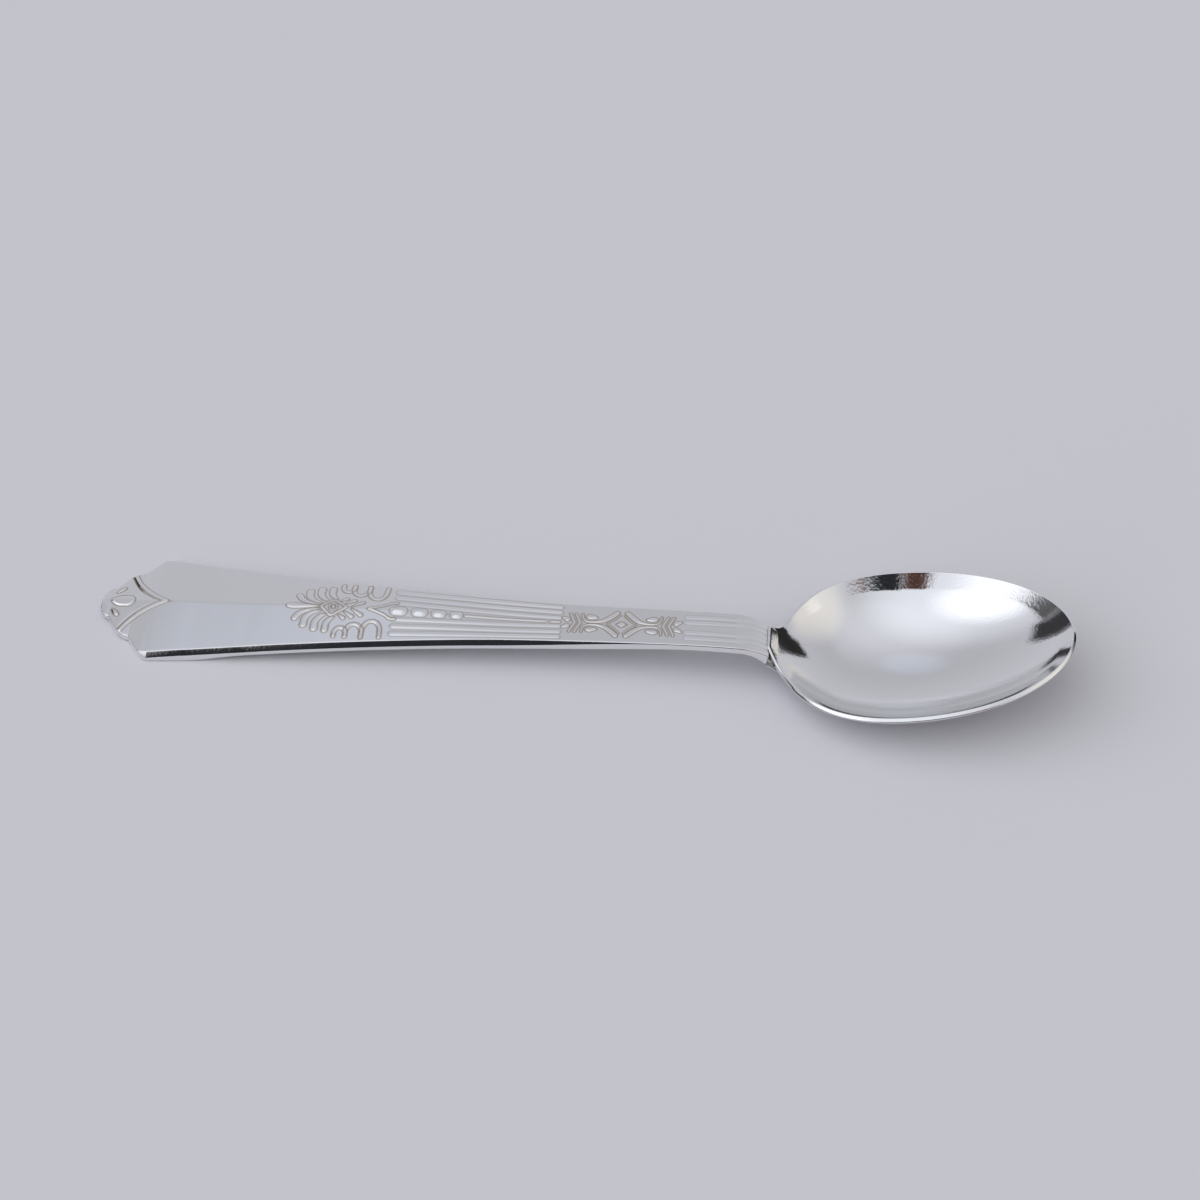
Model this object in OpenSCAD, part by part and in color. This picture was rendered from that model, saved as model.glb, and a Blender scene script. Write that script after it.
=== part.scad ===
// Teaspoon: a die-struck handle soldered under a pressed bowl.
// It lies face up on its back, with +X towards the bowl's tip and +Z up.

/* [Overall] */
// Length over all, from the handle's end to the bowl's tip
spoon_length = 140; // [125:1:165]

/* [Bowl] */
// Length of the hollow at the rim, without the heel
bowl_length = 40.6; // [34:0.1:48]
// Breadth of the hollow at the rim
bowl_width = 28.9; // [23:0.1:34]
// Depth of the hollow below the middle of the rim
bowl_depth = 7.4; // [5.5:0.1:9]
// Thickness of the bowl's sheet
bowl_sheet = 0.7; // [0.5:0.05:1.1]
// Slope of the rim up towards the tip, in degrees
rim_tilt = 11.7; // [8:0.1:14]
// How far the middle of the rim dips below its ends
rim_dip = 0.4; // [0:0.05:0.8]
// Width of the square-cut heel
heel_width = 5.8; // [5:0.1:6.6]
// Length of the heel beyond the hollow
heel_length = 1.9; // [1.5:0.1:2.3]
// Run of the curve from the heel's corners into the rim
heel_flare = 4.3; // [3.6:0.1:5]
// How far the heel's end turns up
heel_lift = 0.4; // [0.1:0.05:0.7]
// Run over which the heel's end turns up
heel_turn = 1.2; // [0.8:0.1:1.6]

/* [Handle] */
// Width across the shoulders
head_width = 19.9; // [16:0.1:23]
// Width of the neck
neck_width = 7; // [6.2:0.1:8.5]
// Thickness of the edge at the head
head_thickness = 2; // [1.4:0.05:2.6]
// Thickness of the edge along the shaft
shaft_thickness = 1.5; // [1.1:0.05:2]
// Thickness of the neck
neck_thickness = 1.15; // [0.9:0.05:1.6]
// Height of the ridge along the plain panel
ridge_height = 1; // [0.4:0.05:1.6]
// Width of the bevel along the edges
bevel_width = 0.6; // [0.3:0.05:0.9]
// Height of the bevel along the edges
bevel_height = 0.75; // [0.3:0.05:0.9]
// Length of the scalloped end
finial_length = 8.7; // [6:0.1:10]
// Run of the bend from the neck down to the tang
bend_length = 3.8; // [3:0.1:4.6]
// How far the neck's face stands above the lower edge of the heel
neck_step = 0.7; // [0.4:0.05:1.2]

/* [Tang] */
// Width of the tang under the bowl
tang_width = 6.4; // [5.4:0.1:7]
// Length of the tang under the bowl
tang_length = 7.5; // [5.5:0.1:10]
// Thickness of the tang
tang_thickness = 0.8; // [0.6:0.05:1.1]

/* [Solder] */
// Thickness of the solder film
solder_film = 0.2; // [0.1:0.05:0.4]
// Width of the solder fillet beside the tang
fillet_width = 0.5; // [0.3:0.05:0.8]

/* [Ornament] */
// Height of the raised ornament
relief = 0.28; // [0.15:0.01:0.4]
// Width of a raised line
line_width = 0.5; // [0.35:0.01:0.7]
// Length of the palmette
palmette_length = 15; // [12:0.1:17]
// Length of the first bead
bead_length = 2.5; // [1.8:0.1:3]
// Width of the first bead
bead_width = 1.9; // [1.2:0.1:2.2]
// Length of the strapwork
strapwork_length = 17; // [14:0.1:19]
// Width of the strapwork
strapwork_width = 4.4; // [3.4:0.1:5]

/* [Hidden] */

silver = "#d4d3d0";
solder_grey = "#a9a8a4";
// Clearance between soldered faces
clearance = 0.05;
// Step for measuring slopes
probe = 0.01;

// Bowl: how the egg's half-breadth swells along it, as a polynomial from tip-ward -1 to 1
egg_shares = [1, -0.12, 0.12, -0.02, -0.08];
// Radius of the hollow's round section over its half-breadth, and at the heel
round_share = 1.125;
heel_round_share = 1.3;
// Run over which the section changes towards the heel, of half the hollow's length
heel_reach_share = 0.45;
// How steeply the rim widens at the heel's corners
flare_share = 0.55;
bowl_sides = 44;
bowl_rings = 11;
heel_cuts = 4;
egg_tries = 60;
keel_tries = 160;

function swell(u) =
    egg_shares[0] + u * (egg_shares[1] + u * (egg_shares[2] + u * (egg_shares[3] + u * egg_shares[4])));
egg_peak = max([for (i = [-egg_tries : egg_tries]) let (u = i / egg_tries) sqrt(1 - u * u) * swell(u)]);
egg_half = bowl_width / egg_peak / 2;

function ease(t) = let (c = min(max(t, 0), 1)) c * c * (3 - 2 * c);
function lerp(a, b, t) = a + (b - a) * t;
// Share of the depth at hollow value g, which is 1 at the middle, 0 on the rim and below 0 on the heel,
// at u from -1 at the heel's end of the hollow to 1 at the tip
function cup(g, u) =
    let (
        radius = lerp(round_share, heel_round_share, ease(1 - (u + 1) / heel_reach_share)),
        rest = sqrt(radius * radius - 1)
    )
    (sqrt(max(rest * rest + g, 0)) - rest) / (radius - rest);
// Height of the keel over the middle of the rim
function keel(u) =
    u * tan(rim_tilt) * bowl_length / 2 + u * u * rim_dip - bowl_depth * cup(1 - u * u, u);
keel_stations = [for (i = [-keel_tries : keel_tries]) i / keel_tries];
keel_heights = [for (u = keel_stations) keel(u)];
keel_low = min(keel_heights);
low_at = [for (i = [0 : len(keel_heights) - 1]) if (keel_heights[i] == keel_low) keel_stations[i]][0];
rim_middle = bowl_sheet - keel_low;

// The tip's outer edge lies this far beyond the inner one, square to the sheet
tip_slope = atan((keel(1) - keel(1 - probe)) / (probe * bowl_length / 2));
bowl_mid = spoon_length / 2 - bowl_sheet * sin(tip_slope) - bowl_length / 2;
tip_x = bowl_mid + bowl_length / 2;
heel_x = bowl_mid - bowl_length / 2 - heel_length;

// Inner face of the bowl: the rim's tilted line less the depth, over egg-shaped level curves
function bowl_point(x, y) =
    let (
        u = (x - bowl_mid) * 2 / bowl_length,
        v = y / egg_half / swell(u),
        flat = ease((x - heel_x) / heel_flare),
        g = 1 - u * u - flat * v * v,
        line = rim_middle + u * tan(rim_tilt) * bowl_length / 2 + u * u * rim_dip,
        lift = heel_lift * pow(max(1 - (x - heel_x) / heel_turn, 0), 2)
    )
    [x, y, line - bowl_depth * cup(g, u) + lift];
function bowl_normal(x, y) =
    let (
        east = bowl_point(x + probe, y) - bowl_point(x - probe, y),
        north = bowl_point(x, y + probe) - bowl_point(x, y - probe),
        n = cross(east, north)
    )
    n / norm(n);
// Point at a depth d behind the bowl's inner face
function behind(x, y, d) = bowl_point(x, y) - d * bowl_normal(x, y);

// Half-breadth of the rim: the egg, and from the heel's corner a smooth curve into it
function egg(x) =
    let (u = min(max((x - bowl_mid) * 2 / bowl_length, -1), 1))
    egg_half * sqrt(1 - u * u) * swell(u);
egg_x = heel_x + heel_flare;
egg_rate = (egg(egg_x + probe) - egg(egg_x - probe)) / probe / 2;
function rim_half(x) =
    x > egg_x ? egg(x)
              : hermite(heel_width / 2, flare_share * heel_flare, egg(egg_x), egg_rate * heel_flare,
                        (x - heel_x) / heel_flare);
rim_stations = [for (i = [0 : bowl_sides]) heel_x + (tip_x - heel_x) * (1 - cos(180 * i / bowl_sides)) / 2];
rim_far = [for (i = [0 : bowl_sides]) [rim_stations[i], i < bowl_sides ? rim_half(rim_stations[i]) : 0]];
rim_near = [for (i = [bowl_sides - 1 : -1 : 0]) [rim_far[i][0], -rim_far[i][1]]];
rim_heel = [for (i = [1 : heel_cuts - 1]) [heel_x, rim_far[0][1] * (2 * i / heel_cuts - 1)]];
rim = concat(rim_far, rim_near, rim_heel);
bowl_low = [bowl_mid + low_at * bowl_length / 2, 0];

// Handle: places along it are measured from its end, and its length runs to the bend
heel_edge = behind(heel_x, 0, bowl_sheet);
handle_length = heel_edge[0] - bend_length + spoon_length / 2;
neck_top = heel_edge[2] + neck_step;
neck_back = neck_top - neck_thickness;
// Rise of the back, as shares of the handle's length and of the neck's height
back_shares = [
    [0, 0.072], [0.09, 0], [0.15, 0], [0.234, 0.161], [0.325, 0.282], [0.538, 0.519], [0.762, 0.73], [0.944, 0.972], [1, 1]
];
// Corners of the scalloped end, as shares of its length and of the half-width at the shoulders
corner_shares = [[0, 0.08], [0.17, 0.29], [0.38, 0.56], [0.6, 0.65], [1, 1]];
corner_cuts = 4;
shaft_cuts = 34;
bend_cuts = 6;
bend_tries_count = 40;
tang_cuts = 9;
taper_power = 1.62;
// Where the taper ends, and the head's and neck's thickness give way to the shaft's, of the handle's length
taper_share = 0.914;
head_share = 0.152;
shaft_shares = [0.244, 0.761];
neck_share = 0.944;
// The ridge runs whole to the first of these and is gone at the second, of the handle's length
ridge_shares = [0.365, 0.67];
// Height of the scalloped end's own middle, of the ridge, and its edge, of the head's thickness
finial_ridge_share = 0.35;
finial_edge_share = 0.3;
// The edge grows to the head's thickness between these, of the scalloped end's length
head_rise_shares = [-0.35, 2];
// The bevel is whole up to the first of these and least after the second, of the handle's length
bevel_shares = [0.609, 0.893];
least_bevel_share = 0.2;

function step(t, a, b) = ease((t - a) / (b - a));
// Smooth curve through a table of [place, value], level beside a level stretch
function rate(table, i) =
    let (
        before = i > 0 ? (table[i][1] - table[i - 1][1]) / (table[i][0] - table[i - 1][0]) : 0,
        after = i < len(table) - 1 ? (table[i + 1][1] - table[i][1]) / (table[i + 1][0] - table[i][0]) : before / 2
    )
    before == 0 || after == 0 ? 0 : (before + after) / 2;
function hermite(a, ra, b, rb, t) =
    a * (1 + 2 * t) * (1 - t) * (1 - t) + ra * t * (1 - t) * (1 - t) + b * t * t * (3 - 2 * t) - rb * t * t * (1 - t);
function curve(table, p) =
    let (
        i = max([for (k = [0 : len(table) - 2]) if (k == 0 || table[k][0] <= p) k]),
        run = table[i + 1][0] - table[i][0]
    )
    hermite(table[i][1], rate(table, i) * run, table[i + 1][1], rate(table, i + 1) * run, (p - table[i][0]) / run);

// Half-width of the scalloped end: a round tongue, a straight flare and two round lobes
function corner_half(k, t) =
    let (part = k == 0 ? sqrt(1 - (1 - t) * (1 - t)) : k == 1 ? t : sin(90 * t))
    lerp(corner_shares[k][1], corner_shares[k + 1][1], part) * head_width / 2;
function finial_half(s) =
    let (
        p = s / finial_length,
        k = max([for (i = [0 : len(corner_shares) - 2]) if (i == 0 || corner_shares[i][0] <= p) i])
    )
    corner_half(k, (p - corner_shares[k][0]) / (corner_shares[k + 1][0] - corner_shares[k][0]));
function half(s) =
    let (t = (s - finial_length) / (taper_share * handle_length - finial_length))
    s < finial_length ? finial_half(s)
                      : neck_width / 2 + (head_width - neck_width) / 2 * pow(max(1 - t, 0), taper_power);
function back(s) = neck_back * curve(back_shares, s / handle_length);
function edge(s) =
    let (
        p = s / handle_length,
        rise = step(s / finial_length, head_rise_shares[0], head_rise_shares[1]),
        head = head_thickness * lerp(finial_edge_share, 1, rise),
        shaft = lerp(head, shaft_thickness, step(p, head_share, shaft_shares[0]))
    )
    lerp(shaft, neck_thickness, step(p, shaft_shares[1], neck_share));
function ridge(s) =
    let (
        p = s / handle_length,
        rise = lerp(finial_ridge_share, 1, ease(s / finial_length))
    )
    ridge_height * rise * (1 - step(p, ridge_shares[0], ridge_shares[1]));
// The bevel is cut straight along the side, so it runs out where the last lobe turns in
function bevel(s) =
    let (
        p = s / handle_length,
        start = s < finial_length ? 1 - (head_width / 2 - half(s)) / bevel_width : 1
    )
    max(start, least_bevel_share) * lerp(1, least_bevel_share, step(p, bevel_shares[0], bevel_shares[1]));
function inner_half(s) = half(s) - min(bevel_width * bevel(s), half(s) / 2);
// Height of the handle's face at distance y from its middle
function face(s, y) = back(s) + edge(s) + ridge(s) * max(1 - abs(y) / inner_half(s), 0);

// One section of the handle: five points along the back, then up the far side and over the face
across_shares = [-1, -0.5, 0, 0.5, 1];
// Places in a section of the far edge and the middle of the face
face_far = 6;
face_middle = 8;
function handle_section(s) =
    let (
        x = s - spoon_length / 2,
        w = half(s),
        v = inner_half(s),
        side = back(s) + edge(s) - bevel_height * bevel(s)
    )
    concat(
        [for (a = across_shares) [x, a * w, back(s)]],
        [[x, w, side]],
        [for (a = across_shares) [x, -a * v, face(s, a * v)]],
        [[x, -w, side]]
    );

// Tang: the same section, laid on the bowl's back over the solder
tang_start_share = 0.5;
tang_start = heel_x + heel_length * tang_start_share;
tang_end = tang_start + tang_length;
tang_round_share = 0.45;
tang_tip_share = 0.3;
tang_seat = bowl_sheet + solder_film + 2 * clearance;
function tang_half(x) =
    let (t = max((x - tang_end) / tang_length / tang_round_share + 1, 0))
    tang_width / 2 * lerp(tang_tip_share, 1, sqrt(max(1 - t * t, 0)));
function tang_depth(x) = tang_seat + tang_thickness * lerp(1, tang_tip_share, step(x, tang_start, tang_end));
function tang_section(x) =
    let (
        w = tang_half(x),
        v = w - bevel_width * least_bevel_share,
        low = tang_depth(x),
        side = lerp(tang_seat, low, least_bevel_share)
    )
    concat(
        [for (a = across_shares) behind(x, a * w, low)],
        [behind(x, w, side)],
        [for (a = across_shares) behind(x, -a * v, tang_seat)],
        [behind(x, -w, side)]
    );

// Bend: each point runs smoothly from the neck's end to the tang's start
bend_from = handle_section(handle_length);
bend_from_rate = (bend_from - handle_section(handle_length - probe)) / probe;
bend_to = tang_section(tang_start);
bend_to_rate = (tang_section(tang_start + probe) - bend_to) / probe;
bend_run = bend_to[2][0] - bend_from[2][0];
function bend_section(t) = hermite(bend_from, bend_from_rate * bend_run, bend_to, bend_to_rate * bend_run, t);

// Solid skin over a row of closed sections, with triangles that close the first one
module sweep(sections, cap) {
    n = len(sections[0]);
    last = (len(sections) - 1) * n;
    points = [for (section = sections) for (p = section) p];
    skin = [
        for (i = [0 : len(sections) - 2])
        for (j = [0 : n - 1])
        let (a = i * n + j, b = i * n + (j + 1) % n)
        for (f = [[a, a + n, b + n], [a, b + n, b]]) f
    ];
    end = [for (f = cap) [last + f[0], last + f[2], last + f[1]]];
    polyhedron(points, concat(skin, cap, end));
}
strap_cap = concat(
    [for (k = [0 : 3]) for (f = [[k, k + 1, 9 - k], [k, 9 - k, 10 - k]]) f],
    [[4, 5, 6], [0, 10, 11]]
);
film_cap = [for (k = [0 : 3]) for (f = [[k, k + 1, 8 - k], [k, 8 - k, 9 - k]]) f];

// Raised line through points [along, across, width share], as a chain of low studs on the face
stud_sides = 6;
stud_top_share = 0.55;
// Height of the lower ornament and of the faint neck reeds, of the relief
low_relief_share = 0.55;
neck_relief_share = 0.25;
sink = relief;
module stud(s, y, width, height) {
    translate([s - spoon_length / 2, y, face(s, y) - sink])
        cylinder(h = sink + height, r1 = width / 2, r2 = width * stud_top_share / 2, $fn = stud_sides);
}
module raised(points, height) {
    for (i = [0 : len(points) - 2]) {
        hull() {
            stud(points[i][0], points[i][1], points[i][2], height);
            stud(points[i + 1][0], points[i + 1][1], points[i + 1][2], height);
        }
    }
}
module both_sides(points, height) {
    raised(points, height);
    raised([for (p = points) [p[0], -p[1], p[2]]], height);
}
// Points of a motif, from shares of its length and half-width, with widths as shares of a line
function placed(start, length, half_width, shares) =
    [for (p = shares) [start + p[0] * length, p[1] * half_width, p[2] * line_width]];

// Scalloped end: a bud between two small leaves, inside a raised border that meets on the ridge
bud_shares = [[0.25, 0, 2.8], [0.44, 0, 4.4]];
leaf_shares = [[0.22, 0.19, 0.9], [0.315, 0.27, 1.7]];
border_shares = [[0.42, 0.54, 1], [0.5, 0.41, 1], [0.63, 0.25, 1], [0.8, 0.11, 1], [1.05, 0, 1]];
module finial_relief() {
    raised(placed(0, finial_length, head_width / 2, bud_shares), relief);
    both_sides(placed(0, finial_length, head_width / 2, leaf_shares), relief);
    both_sides(placed(0, finial_length, head_width / 2, border_shares), relief * low_relief_share);
}

// Palmette: nine petals round an eye in a lozenge, small leaves behind it, and arches open to the edges
palmette_share = 0.293;
palmette_start = palmette_share * handle_length;
palmette_width_share = 0.95;
palmette_half = inner_half(palmette_start + palmette_length) * palmette_width_share;
petal_shares = [
    [[0.34, 0.1, 0.8], [0.2, 0.24, 1.6], [0.13, 0.42, 2]],
    [[0.36, 0.17, 0.8], [0.27, 0.38, 1.7], [0.225, 0.62, 2]],
    [[0.38, 0.25, 0.8], [0.335, 0.5, 1.7], [0.325, 0.75, 2]],
    [[0.42, 0.34, 0.8], [0.43, 0.58, 1.7], [0.44, 0.79, 2]]
];
middle_petal_shares = [[0.05, 0, 2.6], [0.33, 0, 0.8]];
lozenge_shares = [[0.36, 0, 1], [0.48, 0.31, 1], [0.605, 0, 1]];
eye_shares = [[0.475, 0, 2], [0.485, 0, 2]];
drop_shares = [
    [[0.55, 0.25, 0.6], [0.6, 0.36, 1.4]],
    [[0.61, 0.17, 0.6], [0.67, 0.3, 1.4]],
    [[0.67, 0.07, 0.6], [0.745, 0.22, 1.4]]
];
arch_foot_shares = [0.527, 0.64, 0.79, 0.967];
arch_top_shares = [0.66, 0.52, 0.4];
arch_end_share = 0.97;
arch_line_share = 1.2;
arch_cuts = 6;
module arch(k) {
    a = arch_foot_shares[k];
    b = arch_foot_shares[k + 1];
    path_shares = [
        for (i = [0 : arch_cuts])
        let (turn = 180 * i / arch_cuts)
        [
            lerp(a, b, (1 - cos(turn)) / 2),
            lerp(arch_end_share, arch_top_shares[k], sqrt(max(sin(turn), 0))),
            arch_line_share
        ]
    ];
    both_sides(placed(palmette_start, palmette_length, palmette_half, path_shares), relief);
}
wishbone_shares = [[0.82, 0, 1.1], [0.92, 0.12, 1], [1, 0.24, 1], [1.08, 0.32, 0.9]];
module palmette() {
    raised(placed(palmette_start, palmette_length, palmette_half, middle_petal_shares), relief);
    raised(placed(palmette_start, palmette_length, palmette_half, eye_shares), relief);
    for (p = petal_shares) {
        both_sides(placed(palmette_start, palmette_length, palmette_half, p), relief);
    }
    for (p = drop_shares) {
        both_sides(placed(palmette_start, palmette_length, palmette_half, p), relief);
    }
    both_sides(placed(palmette_start, palmette_length, palmette_half, lozenge_shares), relief);
    for (k = [0 : len(arch_top_shares) - 1]) {
        arch(k);
    }
    both_sides(placed(palmette_start, palmette_length, palmette_half, wishbone_shares), relief);
}

// Shaft: a row of shrinking beads that runs out into a thin line, between three reeds on each side
bead_count = 4;
bead_shrink_share = 0.08;
bead_gap_share = 0.24;
beads_share = 1.035;
beads_start = palmette_start + palmette_length * beads_share;
strapwork_share = 0.731;
strapwork_start = strapwork_share * handle_length;
strapwork_half = strapwork_width / 2;
function bead_at(i) =
    beads_start + bead_length * (1 + bead_gap_share) * i * (1 - bead_shrink_share * (i - 1) / 2);
beads_end = bead_at(bead_count);
reed_near_shares = [0.27, 0.52, 0.77];
reed_far_shares = [0.2, 0.5, 0.78];
reed_cuts = 4;
module bead(i) {
    shrink = 1 - bead_shrink_share * i;
    w = bead_width * shrink;
    from = bead_at(i) + w / 2;
    raised([[from, 0, w], [bead_at(i) + bead_length * shrink - w / 2, 0, w]], relief);
}
module reed(k) {
    from = beads_start + line_width;
    path = [
        for (i = [0 : reed_cuts])
        let (
            t = i / reed_cuts,
            s = lerp(from, strapwork_start - line_width, t),
            y = inner_half(s) * lerp(reed_near_shares[k], reed_far_shares[k], t)
        )
        [s, y, line_width]
    ];
    both_sides(path, relief * low_relief_share);
}
module shaft_relief() {
    for (i = [0 : bead_count - 1]) {
        bead(i);
    }
    middle = [for (t = [0, 0.5, 1]) [lerp(beads_end, strapwork_start - line_width, t), 0, line_width]];
    raised(middle, relief * low_relief_share);
    for (k = [0 : len(reed_near_shares) - 1]) {
        reed(k);
    }
}

// Strapwork: back-to-back scrolls on both sides of a small diamond, with leaves, chevrons and buds
scroll_shares = [
    [0.47, 0.95, 0.9], [0.38, 0.4, 0.9], [0.32, 0.13, 0.9], [0.2, 0.13, 0.9], [0.165, 0.4, 0.9], [0.16, 0.8, 0.9]
];
scroll_leaf_shares = [[0.21, 0.5, 1.5], [0.25, 0.48, 1]];
chevron_shares = [[0.055, 0.8, 0.9], [0.11, 0, 0.9]];
strap_bud_shares = [[0.015, 0.35, 1.2], [0.03, 0.3, 1.2]];
diamond_shares = [[0.49, 0, 1.8], [0.51, 0, 1.8]];
module strapwork_side(flip) {
    for (p = [scroll_shares, scroll_leaf_shares, chevron_shares, strap_bud_shares]) {
        q = [for (e = p) [flip ? 1 - e[0] : e[0], e[1], e[2]]];
        both_sides(placed(strapwork_start, strapwork_length, strapwork_half, q), relief);
    }
}
neck_reed_shares = [0.28, 0.58];
neck_run_share = 0.8;
module neck_reed(share) {
    from = strapwork_start + strapwork_length + line_width;
    to = lerp(from, handle_length, neck_run_share);
    both_sides([for (s = [from, to]) [s, inner_half(s) * share, line_width]], relief * neck_relief_share);
}
module strapwork() {
    strapwork_side(false);
    strapwork_side(true);
    raised(placed(strapwork_start, strapwork_length, strapwork_half, diamond_shares), relief);
    for (share = neck_reed_shares) {
        neck_reed(share);
    }
}

finial_stations = [
    for (k = [0 : len(corner_shares) - 2])
    for (i = [0 : corner_cuts - 1])
    lerp(corner_shares[k][0], corner_shares[k + 1][0], pow(i / corner_cuts, k == 0 ? 2 : 1)) * finial_length
];
shaft_stations = [for (i = [0 : shaft_cuts - 1]) lerp(finial_length, handle_length, i / shaft_cuts)];
module handle() {
    color(silver) {
        sweep(
            concat(
                [for (s = concat(finial_stations, shaft_stations)) handle_section(s)],
                [for (i = [0 : bend_cuts - 1]) bend_section(i / bend_cuts)],
                [for (x = tang_stations) tang_section(x)]
            ),
            strap_cap
        );
        finial_relief();
        palmette();
        shaft_relief();
        strapwork();
    }
}

// Bowl: rings of points shrink from the rim to the lowest point, on the inner face and on the outer one
module bowl() {
    n = len(rim);
    reach = [for (r = [bowl_rings : -1 : 1]) for (p = rim) lerp(bowl_low, p, r / bowl_rings)];
    count = len(reach);
    inner = [for (p = reach) bowl_point(p[0], p[1])];
    outer = [for (p = reach) behind(p[0], p[1], bowl_sheet)];
    poles = [bowl_point(bowl_low[0], 0), behind(bowl_low[0], 0, bowl_sheet)];
    rings = [
        for (r = [0 : bowl_rings - 2])
        for (j = [0 : n - 1])
        let (a = r * n + j, b = r * n + (j + 1) % n)
        for (f = [[a, b, a + n], [b, b + n, a + n]]) f
    ];
    last = (bowl_rings - 1) * n;
    middle = [for (j = [0 : n - 1]) [last + j, last + (j + 1) % n, 2 * count]];
    inside = concat(rings, middle);
    outside = [for (f = inside) [for (i = [0, 2, 1]) f[i] == 2 * count ? f[i] + 1 : f[i] + count]];
    lip = [
        for (j = [0 : n - 1])
        let (a = j, b = (j + 1) % n)
        for (f = [[a, b + count, b], [a, a + count, b + count]]) f
    ];
    color(silver)
        polyhedron(concat(inner, outer, poles), concat(inside, outside, lip));
}

// Solder: a film between tang and bowl, a wedge where the heel stands off the bend, and a fillet on each side
film_back = bowl_sheet + clearance;
film_lap_share = 0.4;
fillet_drop_share = 0.6;
wedge_cuts = 4;
function film_half(x) = tang_half(x) + clearance + fillet_width * film_lap_share;
function film_section(x) =
    concat(
        [for (a = across_shares) behind(x, a * film_half(x), tang_seat - clearance)],
        [for (a = across_shares) behind(x, -a * film_half(x), film_back)]
    );
// The wedge opens where the bend's face passes below the heel's edge
bend_tries = [for (i = [0 : bend_tries_count]) i / bend_tries_count];
bend_misses = [for (t = bend_tries) abs(bend_section(t)[face_middle][0] - heel_edge[0])];
wedge_mouth = [for (i = [0 : bend_tries_count]) if (bend_misses[i] == min(bend_misses)) bend_tries[i]][0];
// Point on the bend's face at share a of the half-width w, from the section's own points
function bend_face(t, a, w) =
    let (section = bend_section(t), reach = section[face_far][1])
    lerp(section[face_middle], section[face_middle + (face_far - face_middle) * a], w / reach);
function wedge_section(t) =
    let (
        x = lerp(heel_x + clearance, tang_start, t),
        w = lerp(heel_width / 2 - clearance, film_half(tang_start), t),
        b = lerp(wedge_mouth, 1, t)
    )
    concat(
        [for (a = across_shares) bend_face(b, a, w) + [0, 0, 2 * clearance]],
        [for (a = across_shares) behind(x, -a * w, film_back)]
    );
function fillet_section(x, side) =
    let (y = tang_half(x) + clearance, low = lerp(tang_seat, tang_depth(x), fillet_drop_share))
    [
        behind(x, side * y, low),
        behind(x, side * (side > 0 ? y + fillet_width : y), film_back),
        behind(x, side * (side > 0 ? y : y + fillet_width), film_back)
    ];
tang_stations = [for (i = [0 : tang_cuts]) lerp(tang_start, tang_end, i / tang_cuts)];
module solder_seam() {
    color(solder_grey) {
        sweep(
            concat(
                [for (i = [0 : wedge_cuts - 1]) wedge_section(i / wedge_cuts)],
                [for (x = tang_stations) film_section(x)]
            ),
            film_cap
        );
        for (side = [-1, 1]) {
            sweep([for (x = tang_stations) fillet_section(x, side)], [[0, 1, 2]]);
        }
    }
}

handle();
bowl();
solder_seam();
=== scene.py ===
import math

import bpy
import numpy as np
from mathutils import Matrix


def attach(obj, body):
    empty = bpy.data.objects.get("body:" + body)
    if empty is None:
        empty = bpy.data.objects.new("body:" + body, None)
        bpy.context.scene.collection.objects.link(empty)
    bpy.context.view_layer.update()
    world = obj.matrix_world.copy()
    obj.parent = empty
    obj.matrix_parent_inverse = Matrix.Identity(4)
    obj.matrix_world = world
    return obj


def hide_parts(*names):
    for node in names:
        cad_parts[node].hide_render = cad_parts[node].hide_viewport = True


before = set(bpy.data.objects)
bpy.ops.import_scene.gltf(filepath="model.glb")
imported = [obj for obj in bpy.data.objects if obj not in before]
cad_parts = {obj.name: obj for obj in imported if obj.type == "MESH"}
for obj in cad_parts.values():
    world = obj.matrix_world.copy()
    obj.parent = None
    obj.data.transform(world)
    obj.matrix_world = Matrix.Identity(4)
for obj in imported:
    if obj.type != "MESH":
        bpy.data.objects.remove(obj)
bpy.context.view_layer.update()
print("frame loaded, nodes:", ", ".join(sorted(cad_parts)))

# Sizes are in millimetres, and x runs from the middle of the spoon to the bowl's tip. They are those of the
# part's source, apart from the heel and the bend, which follow the photograph more closely.
mm = 0.001
probe = 0.01  # distance over which slopes are taken
spoonLength = 140.0


# Smooth rise from 0 to 1, level at both ends.
def ease(t):
    c = np.clip(t, 0, 1)
    return c * c * (3 - 2 * c)


# Straight line from a to b.
def lerp(a, b, t):
    return a + (b - a) * t


# The smooth rise, between two places.
def step(t, a, b):
    return ease((t - a) / (b - a))


# Cubic that leaves a at rate ra and comes to b at rate rb.
def hermite(a, ra, b, rb, t):
    return (a * (1 + 2 * t) * (1 - t) ** 2 + ra * t * (1 - t) ** 2
            + b * t * t * (3 - 2 * t) - rb * t * t * (1 - t))


# Quadratic curve from a to c, pulled towards b.
def pulledCurve(a, b, c, t):
    return a * (1 - t) ** 2 + 2 * b * t * (1 - t) + c * t * t


# Slope of a function: its change over a small distance to both sides.
def slope(f, x):
    return (f(x + probe) - f(x - probe)) / probe / 2


# Bowl: u runs along its hollow from -1 at the heel to 1 at the tip.
bowl = {
    "length": 40.6, "width": 28.9, "depth": 7.4, "sheet": 0.7, "rimTilt": 11.7, "rimDip": 0.4,
    "eggShares": (1, -0.12, 0.12, -0.02, -0.08), "roundShare": 1.125, "heelRoundShare": 1.3,
    "heelReachShare": 0.45, "heelWidth": 6.0, "heelLength": 1.9, "heelFlare": 4.3, "flareShare": 0.2,
    "cornerRun": 2.2, "cornerEnd": -0.9,
    "heelRadii": (0.85, 0.04), "lipRadii": (0.1, 0.26), "lipRun": 8.0, "lipReach": 1.5, "lipShare": 0.6,
}


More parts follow.
